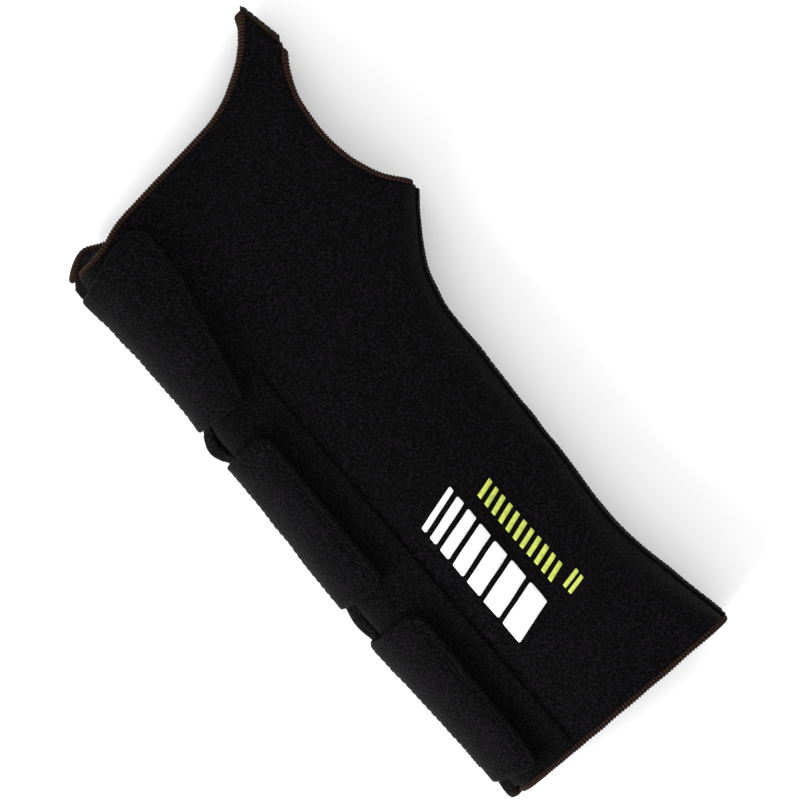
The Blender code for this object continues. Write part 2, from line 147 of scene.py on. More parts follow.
# Fineness
PANEL_VOXEL = 0.00085
TAB_VOXEL = 0.00065
ROW_STEP = 0.0020
FINE_ROW_STEP = 0.0010
STRIP_ROW_STEP = 0.0009
EDGE_STEP = 0.0010
SEAM_STEP = 0.0005
CORNER_STEP = 0.0004
SLOPE_STEP = 0.0005
ARC_STEPS = 8
CIRCLE_STEPS = 96
THUMB_STEPS = 160
EDGE_STEPS = 90
ROLLER_STEPS = 12
TOP_STEPS = 20
FOLD_STEPS = 22
OUTER_FOLD_STEPS = 24
FLANGE_STEPS = 5
SEAM_ARC_STEPS = 8
PRINT_STEPS = 12
SECTION_SAMPLES = 12
EDGE_ROUNDS = 12

# How far cutters reach past the body
FAR_X = 0.08
FAR_Y = 0.16
CUTTER_LOW = -0.02
CUTTER_HIGH = 0.08
GAP_REACH = 0.13
GAP_CUT_WIDTH = 0.03

# Sewing. A stitch's profile is (share of its length, height in thread radii).
THREAD = 0.00022
STITCH_PITCH = 0.0027
STITCH_LENGTH = 0.0021
STITCH_PROFILE = ((0.0, -1.6), (0.12, 0.1), (0.5, 0.6), (0.88, 0.1), (1.0, -1.6))
ZIGZAG_PROFILE = ((0.0, -1.2), (0.15, 0.2), (0.5, 0.7), (0.85, 0.2), (1.0, -1.2))
TAB_STITCH_INSET = 0.0026
SEAM_DEPTH = 0.00035
SEAM_WIDTH = 0.0009
STITCH_SINK = 0.00022
ROOT_SINK = 0.00012
ROOT_ZIGZAG = (0.0034, 0.0011)
TAPE_ZIGZAG = (0.0040, 0.0011)
TACK_ZIGZAG = (0.0024, 0.0005)
TACK_END = 0.010
THREAD_END = 0.45
UNLIKE_ANY_THREAD = (0.31, 0.47, 0.83)
FOREARM_TAPE = (CUFF_Y + BINDING_WIDTH, 0.053)
FOREARM_TAPE_ANGLE = math.radians(16)
WEB_TAPE = (0.088, 0.1172)
WEB_TAPE_ANGLE = math.radians(36)
TAPE_END = 0.001
STRIP_STITCH_INSET = 0.0016

# The pocket and the stay
POCKET_STITCH_INSET = 0.0020
POCKET_CORNER = 0.0020
POCKET_LIFT = 0.00035
EDGE_BEVEL = 0.0004
WELD_DISTANCE = 0.00001
SHARP_ANGLE = math.radians(35)

# Hooks and pile. ROOT is how deep a fibre starts in its backing.
ROOT = 0.0001
HOOK_HEIGHT = 0.0004
HOOK_PITCH = 0.0014
HOOK_WIRE = 0.00011
PILE_HEIGHT = 0.00022
PILE_PITCH = 0.00125
PILE_FIBRE = 0.00006
PILE_MARGIN = 0.001
PILE_START = 0.0026
PILE_SEED = 7

# Bound edges
OVERLOCK_PITCH = 0.00105
OVERLOCK_THREAD = 0.00022
OVERLOCK_TURNS = np.radians([-128, -95, -60, -25, 10, 45, 80, 110, 128])
OVERLOCK_STAND = 0.4
BEAD_HALF_WIDTH = 0.0009
BEAD_HALF_HEIGHT = 0.00165
BEAD_SIDES = 14
BEAD_SQUARENESS = 0.7
EDGE_INSET = BEAD_HALF_WIDTH + OVERLOCK_THREAD

# Wear, by cloth simulation on the back panel's middle surface
SHEET_STEP = 0.0030
SHEET_SCALE = 10.0
SLACK = 0.006
SEED_BUMP = 0.0006
SEED_SIZE = 0.022
LAST_FRAME = 20
CLOTH_SETTINGS = {
    "quality": 6, "mass": 0.4, "air_damping": 5, "tension_stiffness": 30, "compression_stiffness": 30,
    "shear_stiffness": 15, "bending_stiffness": 8, "vertex_group_mass": "pins", "shrink_min": -SLACK,
}
MOST_WEAR = 0.0014
PINNED_COLUMNS = 2
WEAR_NEIGHBOURS = 6

# How far the ulnar edge is moved along X at each y
BOW = (
    (-0.120, 0.0012), (-0.100, 0.0013), (-0.075, 0.0002), (-0.055, -0.0009), (-0.030, -0.0005),
    (-0.005, 0.0005), (0.010, 0.0009), (0.019, 0.0004), (0.032, 0.0019), (0.048, 0.0021),
    (0.064, 0.0019), (0.080, 0.0004), (0.100, 0.0),
)
# Where the flap's free edge stands out between the tabs: y, half width and how far along X
FLARES = (
    (-0.1120, 0.0050, -0.0006), (-0.0475, 0.0065, -0.0015),
    (0.0200, 0.0060, -0.0026), (0.0790, 0.0040, -0.0009),
)
UNEVEN = 0.00022
UNEVEN_SIZE = 0.007
# noise_vector() takes its offset from the clock unless the noise module has a seed
NOISE_SEED = 4
# Where these fade out: the ulnar side along X, the flap's free edge and the table's hold along Z
ULNAR_SIDE = (-0.045, -0.020)
FREE_EDGE = (0.012, 0.020)
OFF_TABLE = (0.005, 0.012)

# Colours, as the darker and the lighter tone of each material's mottling
NEOPRENE_TONES = ((0.0002, 0.0001, 0.0002), (0.0060, 0.0047, 0.0062))
FOAM_TONES = ((0.0020, 0.0019, 0.0021), (0.0045, 0.0042, 0.0046))
LINING_TONES = ((0.0060, 0.0060, 0.0066), (0.0160, 0.0160, 0.0175))
LOOP_TONES = ((0.0010, 0.0009, 0.0011), (0.0066, 0.0062, 0.0070))
HOOK_TONES = ((0.0040, 0.0040, 0.0044), (0.0090, 0.0090, 0.0098))
BINDING_TONES = ((0.0080, 0.0036, 0.0020), (0.0210, 0.0092, 0.0050))
BINDING_THREAD_TONES = ((0.0130, 0.0055, 0.0030), (0.0400, 0.0175, 0.0090))
THREAD_TONES = ((0.0010, 0.0009, 0.0011), (0.0040, 0.0038, 0.0043))
WEBBING_TONES = ((0.0008, 0.0007, 0.0008), (0.0042, 0.0039, 0.0044))
WHITE_TONES = ((0.66, 0.66, 0.65), (0.80, 0.80, 0.79))
LIME_TONES = ((0.36, 0.42, 0.07), (0.50, 0.58, 0.09))

# Light: name, place, size and power of each lamp
SKY = 1.0
FLOOR_SIZE = 3.0
LAMPS = (
    ("key", (-0.55, -0.12, 0.27), 0.35, 5.0),
    ("fill", (0.9, 0.5, 1.0), 1.2, 4.0),
    ("rim", (0.1, 1.3, 0.6), 0.8, 2.5),
)

# Camera
AIM = Vector((0.0032, -0.0045, 0.0170))
VIEW_WIDTH = 0.2353
CAMERA_DISTANCE = 1.5
PICTURE_RIGHT = Vector((0.7622, -0.6473, 0.0))
SENSOR_MM = 36.0
FAR_CLIP = 10.0


def smooth_value(points, at):
    """Values at one or more places on the smooth curve through (place, value) points."""
    place, value = np.array(points, float).T
    slope = np.gradient(value, place)
    i = np.clip(np.searchsorted(place, at) - 1, 0, len(place) - 2)
    span = place[i + 1] - place[i]
    t = np.clip((at - place[i]) / span, 0.0, 1.0)
    start = (1 + 2 * t) * (1 - t) ** 2 * value[i] + t * (1 - t) ** 2 * span * slope[i]
    end = t * t * (3 - 2 * t) * value[i + 1] - t * t * (1 - t) * span * slope[i + 1]
    return start + end


def smooth_step(low, high, at):
    t = np.clip((np.asarray(at, float) - low) / (high - low), 0.0, 1.0)
    return t * t * (3 - 2 * t)


# ---- The section ----


def arc(centre, radius, start, end, steps):
    """(point, outward normal) pairs along an arc."""
    path = []
    for angle in np.linspace(start, end, steps + 1):
        normal = np.array([math.cos(angle), math.sin(angle)])
        path.append((np.array(centre) + radius * normal, normal))
    return path


def rollers(y):
    """The radial roller's centre and radius at y, and the top line's normal angle."""
    radius = float(smooth_value(RADIAL_ROLLER, y))
    centre = np.array([float(smooth_value(RADIAL_EDGE, y)) - radius, FLOOR_Z + radius])
    across = centre - FOLD
    span = float(np.linalg.norm(across))
    angle = math.atan2(across[1], across[0]) + math.acos((FOLD_RADIUS - radius) / span)
    return centre, radius, angle


def top_point(y, x):
    """The point of the dorsal surface over x, between the rollers, and its normal."""
    centre, radius, angle = rollers(y)
    normal = np.array([math.cos(angle), math.sin(angle)])
    radial_end = centre + radius * normal
    ulnar_end = FOLD + FOLD_RADIUS * normal
    f = float(np.clip((x - ulnar_end[0]) / (radial_end[0] - ulnar_end[0]), 0.0, 1.0))
    lift = float(smooth_value(CROWN, y)) * math.sin(math.pi * f)
    return ulnar_end + f * (radial_end - ulnar_end) + lift * normal, normal


def top_line(y, start_x, end_x, steps):
    return [top_point(y, x) for x in np.linspace(start_x, end_x, steps + 1)]


def on_top(x, y, height):
    """The point over (x, y) at a height above the dorsal surface, and its normal, as 3-D vectors."""
    centre, radius, angle = rollers(y)
    fold_reach = FOLD_RADIUS + height
    reach = radius + height
    if x < FOLD[0] + fold_reach * math.cos(angle):
        turn = math.acos(max(-1.0, (x - FOLD[0]) / fold_reach))
        point, normal = arc(FOLD, fold_reach, turn, turn, 1)[0]
    elif x > centre[0] + reach * math.cos(angle):
        turn = math.acos(min(1.0, (x - centre[0]) / reach))
        point, normal = arc(centre, reach, turn, turn, 1)[0]
    else:
        base, normal = top_point(y, x - height * math.cos(angle))
        point = base + height * normal
    return np.array([point[0], y, point[1]]), np.array([normal[0], 0.0, normal[1]])


def half_gap_angle(radius):
    return GAP / 2 / radius


def dorsal_path(y):
    """From the radial seam over the top, round the ulnar fold and along the flange inside the flap."""
    centre, radius, angle = rollers(y)
    radial_top = centre[0] + radius * math.cos(angle)
    ulnar_top = FOLD[0] + FOLD_RADIUS * math.cos(angle)
    foot = FOLD - (0.0, FOLD_RADIUS)
    down = np.array([0.0, -1.0])
    return [
        *arc(centre, radius, half_gap_angle(radius), angle, ROLLER_STEPS),
        *top_line(y, radial_top, ulnar_top, TOP_STEPS)[1:-1],
        *arc(FOLD, FOLD_RADIUS, angle, 1.5 * math.pi, FOLD_STEPS),
        *((foot + (x, 0.0), down) for x in np.linspace(0.0, FLANGE_WIDTH, FLANGE_STEPS + 1)[1:]),
    ]


def palm_path(y):
    """From the radial seam under the palm and round the ulnar fold to the tabs' hinges."""
    centre, radius, _ = rollers(y)
    down = np.array([0.0, -1.0])
    end = TAB_HINGE + half_gap_angle(OUTER_RADIUS)
    return [
        *arc(centre, radius, -half_gap_angle(radius), -0.5 * math.pi, ROLLER_STEPS),
        *((np.array([x, FLOOR_Z]), down) for x in np.linspace(centre[0], FOLD[0], TOP_STEPS + 1)[1:-1]),
        *arc(FOLD, OUTER_RADIUS, 1.5 * math.pi, end, OUTER_FOLD_STEPS),
    ]


def over_fold(from_x, to_angle, flat_steps, fold_steps):
    """The path from a place on the top, over the ulnar shoulder, to an angle on the ulnar roller."""

    def path(y):
        angle = rollers(y)[2]
        ulnar_top = FOLD[0] + FOLD_RADIUS * math.cos(angle)
        flat = top_line(y, from_x, ulnar_top, flat_steps)[:-1]
        return [*flat, *arc(FOLD, FOLD_RADIUS, angle, to_angle, fold_steps)]

    return path


def across_radial_seam(half_angle):
    """A short path across the seam on the radial roller."""

    def path(y):
        centre, radius, _ = rollers(y)
        return arc(centre, radius, half_angle, -half_angle, SEAM_ARC_STEPS)

    return path


# ---- Outlines seen from above ----


def finger_y(edge, x):
    return float(smooth_value(edge, x))


def finger_slope(edge, x):
    """How far along Y the finger edge moves for each unit that it is moved square to itself."""
    rise = finger_y(edge, x + SLOPE_STEP) - finger_y(edge, x - SLOPE_STEP)
    return math.hypot(rise, 2 * SLOPE_STEP) / (2 * SLOPE_STEP)


def beyond_fingers(edge, grow):
    """Everything past the finger edge, moved towards the cuff by grow."""
    xs = np.linspace(edge[0][0], edge[-1][0], EDGE_STEPS)
    line = np.stack([xs, smooth_value(edge, xs)], axis=1)
    along = np.gradient(line, axis=0)
    along /= np.linalg.norm(along, axis=1)[:, None]
    line = line + grow * np.stack([along[:, 1], -along[:, 0]], axis=1)
    return [*line, (FAR_X, line[-1][1]), (FAR_X, FAR_Y), (-FAR_X, FAR_Y), (-FAR_X, line[0][1])]


def thumb_point(grow, angle):
    radius = THUMB_RADIUS + grow
    return THUMB_CENTRE[0] + radius * math.cos(angle), THUMB_CENTRE[1] + radius * math.sin(angle)


def from_thumb_centre(x, y):
    return math.hypot(x - THUMB_CENTRE[0], y - THUMB_CENTRE[1])


def thumb_circle(grow):
    turns = np.linspace(0, 2 * math.pi, CIRCLE_STEPS, endpoint=False)
    return [thumb_point(grow, angle) for angle in turns]


def rounded(corners):
    """The closed outline with the given (x, y, radius) corners, each replaced by an arc."""
    outline = []
    for i, (x, y, radius) in enumerate(corners):
        corner = Vector((x, y))
        if radius == 0:
            outline.append(corner)
            continue
        before = (Vector(corners[i - 1][:2]) - corner).normalized()
        after = (Vector(corners[(i + 1) % len(corners)][:2]) - corner).normalized()
        half = before.angle(after) / 2
        centre = corner + (before + after).normalized() * radius / math.sin(half)
        first = corner + before * radius / math.tan(half) - centre
        last = corner + after * radius / math.tan(half) - centre
        turn = first.angle_signed(last)
        for step in range(ARC_STEPS + 1):
            outline.append(centre + Matrix.Rotation(-turn * step / ARC_STEPS, 2) @ first)
    return np.array(outline)


def rectangle(centre, size, radius):
    """A rounded rectangle's corners, clockwise."""
    x, y = centre
    half_x, half_y = size[0] / 2, size[1] / 2
    return (
        (x - half_x, y + half_y, radius), (x + half_x, y + half_y, radius),
        (x + half_x, y - half_y, radius), (x - half_x, y - half_y, radius),
    )


def inset(corners, distance):
    """The corners of a clockwise outline moved inwards by a distance."""
    moved = []
    for i, (x, y, radius) in enumerate(corners):
        corner = Vector((x, y))
        first = (corner - Vector(corners[i - 1][:2])).normalized()
        second = (Vector(corners[(i + 1) % len(corners)][:2]) - corner).normalized()
        inward = Vector((first.y, -first.x)) + Vector((second.y, -second.x))
        place = corner + inward * distance / (1 + first.dot(second))
        moved.append((place.x, place.y, max(radius - distance, SMALLEST_CORNER) if radius else 0.0))
    return moved


# ---- Meshes ----


def new_object(name, vertices, faces, material=None):
    mesh = bpy.data.meshes.new(name)
    mesh.from_pydata([tuple(v) for v in vertices], [], [tuple(f) for f in faces])
    mesh.validate()
    obj = bpy.data.objects.new(name, mesh)
    bpy.context.scene.collection.objects.link(obj)
    if material:
        mesh.materials.append(finishes[material])
    mesh.shade_smooth()
    return obj


def recalculate_normals(obj):
    bm = bmesh.new()
    bm.from_mesh(obj.data)
    bmesh.ops.recalc_face_normals(bm, faces=bm.faces)
    bm.to_mesh(obj.data)
    bm.free()


def shell(name, path, y_range, outer, inner, row_step=ROW_STEP):
    """The closed shell between two heights over a section path, swept along Y."""
    rows = np.linspace(*y_range, max(2, math.ceil((y_range[1] - y_range[0]) / row_step) + 1))
    vertices, faces = [], []
    for y in rows:
        stations = path(y)
        above = [p + outer * n for p, n in stations]
        below = [p + inner * n for p, n in stations]
        vertices += [(x, y, z) for x, z in (*above, *below[::-1])]
    count = len(vertices) // len(rows)
    for start in range(0, count * (len(rows) - 1), count):
        for i in range(count):
            j = (i + 1) % count
            faces.append((start + i, start + j, start + count + j, start + count + i))
    for start in (0, count * (len(rows) - 1)):
        for i in range(count // 2 - 1):
            faces.append((start + i, start + i + 1, start + count - 2 - i, start + count - 1 - i))
    obj = new_object(name, vertices, faces)
    recalculate_normals(obj)
    return obj


def prisms(name, outlines, low, high):
    """One mesh of upright prisms with the given outlines."""
    vertices, faces = [], []
    for outline in outlines:
        count, base = len(outline), len(vertices)
        vertices += [(x, y, z) for z in (low, high) for x, y in outline]
        for i in range(count):
            j = (i + 1) % count
            faces.append((base + i, base + j, base + count + j, base + count + i))
        faces.append(tuple(range(base, base + count)))
        faces.append(tuple(range(base + count, base + 2 * count)))
    obj = new_object(name, vertices, faces)
    recalculate_normals(obj)
    return obj


def apply_modifiers(obj):
    """The object's mesh replaced by what its modifiers make of it."""
    graph = bpy.context.evaluated_depsgraph_get()
    graph.update()
    made = bpy.data.meshes.new_from_object(obj.evaluated_get(graph))
    obj.modifiers.clear()
    old = obj.data
    obj.data = made
    bpy.data.meshes.remove(old)
    return obj


def trim(obj, outlines, operation="DIFFERENCE", low=CUTTER_LOW):
    """Cuts away, or keeps, what lies over outlines seen from above."""
    tool = prisms("cutter", outlines, low, CUTTER_HIGH)
    modifier = obj.modifiers.new("trim", "BOOLEAN")
    modifier.operation = operation
    modifier.object = tool
    modifier.solver = "EXACT"
    apply_modifiers(obj)
    bpy.data.objects.remove(tool)
    return obj


def even_mesh(obj, voxel, smoothing):
    """The same solid with an even mesh and its sharp edges worn round."""
    remesh = obj.modifiers.new("remesh", "REMESH")
    remesh.mode = "VOXEL"
    remesh.voxel_size = voxel
    soften = obj.modifiers.new("soften", "SMOOTH")
    soften.factor = 0.5
    soften.iterations = smoothing
    apply_modifiers(obj)
    obj.data.shade_smooth()
    return obj


def points_of(obj):
    co = np.empty(len(obj.data.vertices) * 3, np.float32)
    obj.data.vertices.foreach_get("co", co)
    return co.reshape(-1, 3).astype(float)


def normals_of(obj):
    normals = np.empty(len(obj.data.vertices) * 3, np.float32)
    obj.data.vertices.foreach_get("normal", normals)
    return normals.reshape(-1, 3).astype(float)


def set_points(obj, co):
    obj.data.vertices.foreach_set("co", co.astype(np.float32).ravel())
    obj.data.update()


def tree_of(points):
    tree = kdtree.KDTree(len(points))
    for i, point in enumerate(points):
        tree.insert(point, i)
    tree.balance()
    return tree


def press_seams(obj, seam, depth, width):
    """Pulls the surface in along a sewn line, as thread does to foam."""
    tree = tree_of(seam)
    co = points_of(obj)
    distance = np.array([tree.find(point)[2] for point in co])
    pull = depth * np.exp(-((distance / width) ** 2))
    set_points(obj, co - normals_of(obj) * pull[:, None])


def settle(co):
    """Where worn fabric lies against the straight CAD section, as one field that moves every layer alike."""
    co = np.array(co, float)
    x, y, z = co.T
    side = 1 - smooth_step(*ULNAR_SIDE, x)
    bow = smooth_value(BOW, y) * side
    low = side * (1 - smooth_step(*FREE_EDGE, z))
    for at_y, width, reach in FLARES:
        bow += reach * low * np.exp(-(((y - at_y) / width) ** 2))
    free = smooth_step(*OFF_TABLE, z)[:, None]
    uneven = np.array([noise.noise_vector(Vector(p) / UNEVEN_SIZE) for p in co])
    return np.stack([x + bow, y, z], axis=1) + free * (UNEVEN * uneven + wear_at(co))


# ---- Wear, by cloth simulation ----


# What the simulation leaves for settle() to use: a tree of the sheet's points, and how far each one moved
wear = {}


def sheet_grid():
    """The back panel's middle surface as rows of even points, from the radial seam to the fold's foot."""
    rows = []
    for y in np.arange(CUFF_Y, PAST_TIP_Y, SHEET_STEP):
        middle = [p - n * NEOPRENE / 2 for p, n in dorsal_path(y)[:-FLANGE_STEPS]]
        rows.append(np.array([(x, y, z) for x, z in middle]))
    columns = round(distance_along(rows[0])[-1] / SHEET_STEP) + 1
    return np.array([resampled(line, distance_along(line)[-1] / (columns - 1)) for line in rows])


def in_panel(point):
    x, y, _ = point
    return from_thumb_centre(x, y) > THUMB_RADIUS and y < finger_y(FINGER_EDGE_DORSAL, x)


def wear_sheet():
    """The sheet to simulate, with its two long edges pinned, and its points at rest."""
    grid = sheet_grid()
    rows, columns = grid.shape[:2]
    rest = grid.reshape(-1, 3)
    inside = [in_panel(point) for point in rest]
    faces = []
    for start in range(0, (rows - 1) * columns, columns):
        for i in range(start, start + columns - 1):
            face = (i, i + 1, i + 1 + columns, i + columns)
            if all(inside[k] for k in face):
                faces.append(face)
    kept = sorted({k for face in faces for k in face})
    number = {k: i for i, k in enumerate(kept)}
    rest = rest[kept]
    bump = np.array([noise.noise(Vector(p) / SEED_SIZE) for p in rest]) * SEED_BUMP
    start = (rest + bump[:, None] * (0, 0, 1)) * SHEET_SCALE
    sheet = new_object("wear_sheet", start, [[number[k] for k in face] for face in faces])
    first, last = PINNED_COLUMNS, columns - PINNED_COLUMNS
    held = [number[k] for k in kept if not first <= k % columns < last]
    sheet.vertex_groups.new(name="pins").add(held, 1.0, "REPLACE")
    return sheet, rest


def simulate_wear():
    """The panel, cut too big for its frame, buckles softly: its points and how far each moves across."""
    sheet, rest = wear_sheet()
    cloth = sheet.modifiers.new("cloth", "CLOTH")
    for key, value in CLOTH_SETTINGS.items():
        setattr(cloth.settings, key, value)
    cloth.settings.effector_weights.gravity = 0.0
    cloth.point_cache.frame_end = LAST_FRAME
    for step in range(1, LAST_FRAME + 1):
        bpy.context.scene.frame_set(step)
    across = normals_of(sheet)
    apply_modifiers(sheet)
    moved = points_of(sheet) / SHEET_SCALE - rest
    bpy.data.objects.remove(sheet)
    reach = np.clip(np.sum(moved * across, axis=1), -MOST_WEAR, MOST_WEAR)
    return rest, across * reach[:, None]


def remember_wear(rest, moved):
    wear.update(tree=tree_of(rest), moved=moved)


def wear_at(co):
    """The simulated movement near each point, blended from the sheet's closest points."""
    if not wear:
        return np.zeros_like(co)
    found = [wear["tree"].find_n(point, WEAR_NEIGHBOURS) for point in co]
    near = np.array([[i for _, i, _ in hits] for hits in found])
    distance = np.array([[d for _, _, d in hits] for hits in found])
    reach = distance[:, -1:] * 1.001 + 1e-9
    weight = (1 - distance / reach) ** 2 + 1e-6
    weight /= weight.sum(axis=1, keepdims=True)
    return np.sum(wear["moved"][near] * weight[:, :, None], axis=1)


def distance_along(points):
    steps = np.linalg.norm(np.diff(points[:, :3], axis=0), axis=1)
    return np.concatenate([[0.0], np.cumsum(steps)])


def resampled(rows, step):
    """The rows of a line at an even step along it. Each row starts with its point."""
    length = distance_along(rows)
    at = np.linspace(0, length[-1], max(2, round(length[-1] / step) + 1))
    return rows_at(at, length, rows)


def rows_at(distances, along, rows):
    """The rows found at given distances, between rows whose own distances are known."""
    return np.stack([np.interp(distances, along, column) for column in rows.T], axis=1)


def unit(vectors):
    return vectors / np.maximum(np.linalg.norm(vectors, axis=-1, keepdims=True), 1e-12)


def tubes(name, lines, radius, material, sides=6):
    """One mesh of round threads, one along each line of points, closed at both ends."""
    vertices, faces = [], []
    for line in lines:
        line = np.array(line, float)
        along = unit(np.gradient(line, axis=0))
        side = unit(np.cross(along, UNLIKE_ANY_THREAD))
        up = np.cross(side, along)
        taper = np.ones(len(line))
        taper[[0, -1]] = THREAD_END
        base = len(vertices)
        for k in range(len(line)):
            for turn in np.linspace(0, 2 * math.pi, sides, endpoint=False):
                offset = math.cos(turn) * side[k] + math.sin(turn) * up[k]
                vertices.append(line[k] + radius * taper[k] * offset)
        for k in range(len(line) - 1):
            for i in range(sides):
                j = (i + 1) % sides
                a, b = base + k * sides, base + (k + 1) * sides
                faces.append((a + i, a + j, b + j, b + i))
        faces.append(tuple(base + i for i in range(sides))[::-1])
        faces.append(tuple(base + (len(line) - 1) * sides + i for i in range(sides)))
    return new_object(name, settle(vertices), faces, material)


def sweep(name, points, normals, sides, profile, material):
    """A solid with a closed profile, (sideways, upwards) pairs, carried along points."""
    vertices, faces = [], []
    count = len(profile)
    for point, normal, side in zip(points, normals, sides):
        vertices += [point + a * side + b * normal for a, b in profile]
    rows = len(points)
    for k in range(rows - 1):
        a, b = k * count, (k + 1) * count
        for i in range(count):
            j = (i + 1) % count
            faces.append((a + i, a + j, b + j, b + i))
    faces.append(tuple(range(count)))
    faces.append(tuple((rows - 1) * count + i for i in range(count)))
    obj = new_object(name, settle(vertices), faces, material)
    recalculate_normals(obj)
    return obj


# ---- Sewing ----


def laid_on_top(outline, height):
    """Plan points laid over the dorsal surface: points and normals."""
    laid = [on_top(x, y, height) for x, y in outline]
    return np.array([p for p, _ in laid]), np.array([n for _, n in laid])


def run_of_stitches(points, normals):
    """Short arched threads one after another along a line on the fabric."""
    distance = distance_along(points)
    share, height = np.array(STITCH_PROFILE).T
    stitches = []
    for start in np.arange(STITCH_PITCH / 2, distance[-1] - STITCH_LENGTH, STITCH_PITCH):
        at = start + STITCH_LENGTH * share
        up = unit(rows_at(at, distance, normals))
        stitches.append(rows_at(at, distance, points) + up * (THREAD * height)[:, None])
    return stitches


def zigzag(points, normals, width, pitch):
    """Threads crossing a seam to and fro."""
    side = np.cross(unit(np.gradient(points, axis=0)), normals)
    distance = distance_along(points)
    at = np.arange(pitch / 2, distance[-1], pitch)
    up = unit(rows_at(at, distance, normals))
    sign = np.where(np.arange(len(at)) % 2, 1.0, -1.0)[:, None]
    ends = rows_at(at, distance, points) + rows_at(at, distance, side) * sign * width / 2
    share, height = np.array(ZIGZAG_PROFILE).T[:, :, None]
    stitches = []
    for k in range(len(ends) - 1):
        line = ends[k] * (1 - share) + ends[k + 1] * share
        stitches.append(line + unit(up[k] + up[k + 1]) * THREAD * height)
    return stitches


def squared(value):
    """A sine or cosine pushed outwards, which turns a circle into a rounded square."""
    return np.sign(value) * np.abs(value) ** BEAD_SQUARENESS


def bead_profile():
    turns = np.linspace(0, 2 * math.pi, BEAD_SIDES, endpoint=False)
    wide = BEAD_HALF_WIDTH * squared(np.cos(turns))
    high = BEAD_HALF_HEIGHT * squared(np.sin(turns))
    return list(zip(wide, high))


def overlock(points, normals, outward):
    """Threads wrapped closely round a bound edge."""
    distance = distance_along(points)
    stand = OVERLOCK_STAND * OVERLOCK_THREAD
    wide = (BEAD_HALF_WIDTH + stand) * squared(np.cos(OVERLOCK_TURNS))[:, None]
    high = (BEAD_HALF_HEIGHT + stand) * squared(np.sin(OVERLOCK_TURNS))[:, None]
    slant = OVERLOCK_PITCH / 2 * OVERLOCK_TURNS[:, None] / math.pi
    at = np.arange(OVERLOCK_PITCH / 2, distance[-1], OVERLOCK_PITCH)
    centres, ups, outs = (rows_at(at, distance, rows) for rows in (points, normals, outward))
    loops = []
    for centre, up, out in zip(centres, ups, outs):
        loops.append(centre + wide * out + high * up + slant * unit(np.cross(out, up)))
    return loops


# ---- Bound edges: mid-thickness line, surface normal, direction away from the panel ----


def finger_edge_line(path, edge, stations):
    """The finger edge of a panel, over the first stations of its section path."""
    points, normals = [], []
    for i in range(stations):
        y = FINGER_Y
        for _ in range(EDGE_ROUNDS):
            point, normal = path(y)[i]
            x, z = point - normal * NEOPRENE / 2
            y = finger_y(edge, x) - finger_slope(edge, x) * EDGE_INSET
        points.append((x, y, z))
        normals.append((normal[0], 0.0, normal[1]))
    return edge_frames(points, normals, (0.0, 1.0, 0.0))


def cuff_edge_line(path, stations):
    y = CUFF_Y + EDGE_INSET
    points, normals = [], []
    for point, normal in path(y)[:stations]:
        x, z = point - normal * NEOPRENE / 2
        points.append((x, y, z))
        normals.append((normal[0], 0.0, normal[1]))
    return edge_frames(points, normals, (0.0, -1.0, 0.0))


def thumb_edge_line(surface):
    """The thumb opening's edge on one panel, between the web seam and the forearm seam."""
    points, normals = [], []
    for angle in np.linspace(*THUMB_ARC, THUMB_STEPS):
        x, y = thumb_point(EDGE_INSET, angle)
        centre, radius, _ = rollers(y)
        if x > centre[0] + radius - NEOPRENE / 2:
            continue
        point, normal = surface(x, y, -NEOPRENE / 2)
        points.append(point)
        normals.append(normal)
    middle = np.array([*THUMB_CENTRE, THUMB_CENTRE_Z])
    return edge_frames(points, normals, middle - np.array(points))


def under_palm(x, y, height):
    """The point under (x, y) at a height outside the palmar surface, and its normal."""
    centre, radius, _ = rollers(y)
    point, normal = np.array([x, FLOOR_Z - height]), np.array([0.0, -1.0])
    if x > centre[0]:
        turn = -math.acos(min(1.0, (x - centre[0]) / (radius + height)))
        point, normal = arc(centre, radius + height, turn, turn, 1)[0]
    return np.array([point[0], y, point[1]]), np.array([normal[0], 0.0, normal[1]])


def edge_frames(points, normals, outward):
    """Evenly spaced points with square (point, normal, outward) frames."""
    points, normals = np.array(points, float), np.array(normals, float)
    outward = np.broadcast_to(np.array(outward, float), points.shape)
    joined = resampled(np.concatenate([points, normals, outward], axis=1), EDGE_STEP)
    points, normals, outward = joined[:, :3], unit(joined[:, 3:6]), joined[:, 6:]
    along = unit(np.gradient(points, axis=0))
    outward = unit(outward - along * np.sum(outward * along, axis=1)[:, None])
    normals = unit(normals - along * np.sum(normals * along, axis=1)[:, None])
    normals = unit(normals - outward * np.sum(normals * outward, axis=1)[:, None])
    return points, normals, outward


# ---- Materials ----


# This scene's own materials. The CAD's flat ones have the same plain names, so these are kept by name here.
finishes = {}


def new_material(name, roughness, specular, metallic=0.0, sheen=0.0):
    """A material with its even values set, and its node tree."""
    material = bpy.data.materials.new(f"{name}_finish")
    finishes[name] = material
    material.use_nodes = True
    tree = material.node_tree
    shader = tree.nodes["Principled BSDF"]
    shader.inputs["Roughness"].default_value = roughness
    shader.inputs["Specular IOR Level"].default_value = specular
    shader.inputs["Metallic"].default_value = metallic
    shader.inputs["Sheen Weight"].default_value = sheen
    shader.inputs["Sheen Roughness"].default_value = 0.35
    return tree, shader


def add_node(tree, kind, inputs=None, **settings):
    node = tree.nodes.new("ShaderNode" + kind)
    for key, value in settings.items():
        setattr(node, key, value)
    for key, value in (inputs or {}).items():
        if isinstance(value, bpy.types.NodeSocket):
            tree.links.new(value, node.inputs[key])
        else:
            node.inputs[key].default_value = value
    return node


def object_place(tree, stretch=(1.0, 1.0, 1.0)):
    place = add_node(tree, "TexCoord").outputs["Object"]
    return add_node(tree, "Mapping", {"Vector": place, "Scale": stretch}).outputs["Vector"]


